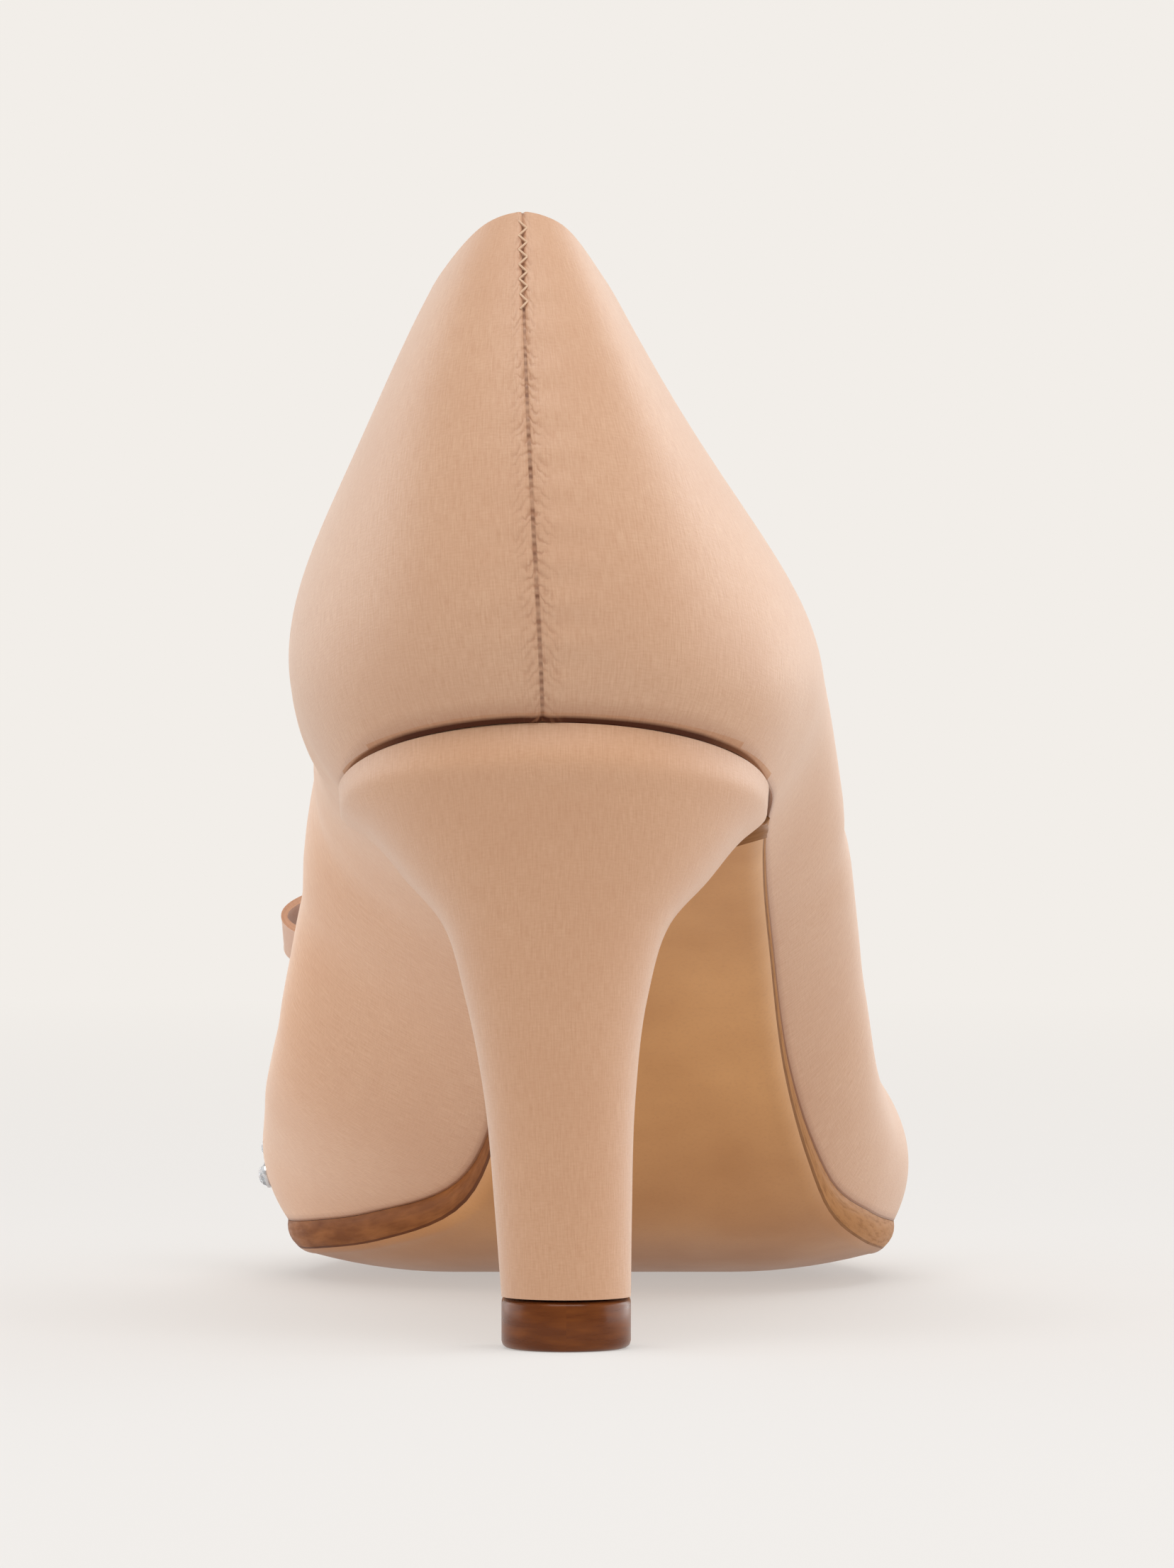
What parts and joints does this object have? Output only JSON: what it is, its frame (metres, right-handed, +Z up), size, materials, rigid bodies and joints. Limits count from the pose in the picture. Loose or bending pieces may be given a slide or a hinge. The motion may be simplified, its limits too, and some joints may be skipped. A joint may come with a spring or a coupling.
{
  "type": "bow pump",
  "caption": "Right-foot court shoe in satin with a covered heel, leather sole, ribbon bow on the vamp and a row of small stones",
  "frame": {"origin": "on the floor under the middle of the shoe's box", "axes": "+Y from heel to toe, +X to the outer side, +Z up"},
  "size_m": [0.079, 0.2272, 0.126],
  "materials": {
    "satin": "blush satin with a soft sheen",
    "ribbon": "satin ribbon",
    "sole_leather": "tan leather, polished underside, dark edge",
    "lining": "pale lining leather",
    "tip": "brown hard plastic, glossy",
    "stone": "clear cut glass"
  },
  "bodies": {
    "root": {"upper": "satin", "outsole": "sole_leather", "insole": "lining", "heel": "satin", "top_piece": "tip", "bow_loop_lateral": "ribbon", "bow_loop_medial": "ribbon", "bow_knot": "ribbon", "stone_lateral_1": "stone", "stone_lateral_2": "stone", "stone_lateral_3": "stone", "stone_lateral_4": "stone", "stone_lateral_5": "stone", "stone_lateral_6": "stone", "stone_lateral_7": "stone", "stone_lateral_8": "stone", "stone_medial_1": "stone", "stone_medial_2": "stone", "stone_medial_3": "stone", "stone_medial_4": "stone", "stone_medial_5": "stone", "stone_medial_6": "stone", "stone_medial_7": "stone", "stone_medial_8": "stone"}
  },
  "joints": []
}
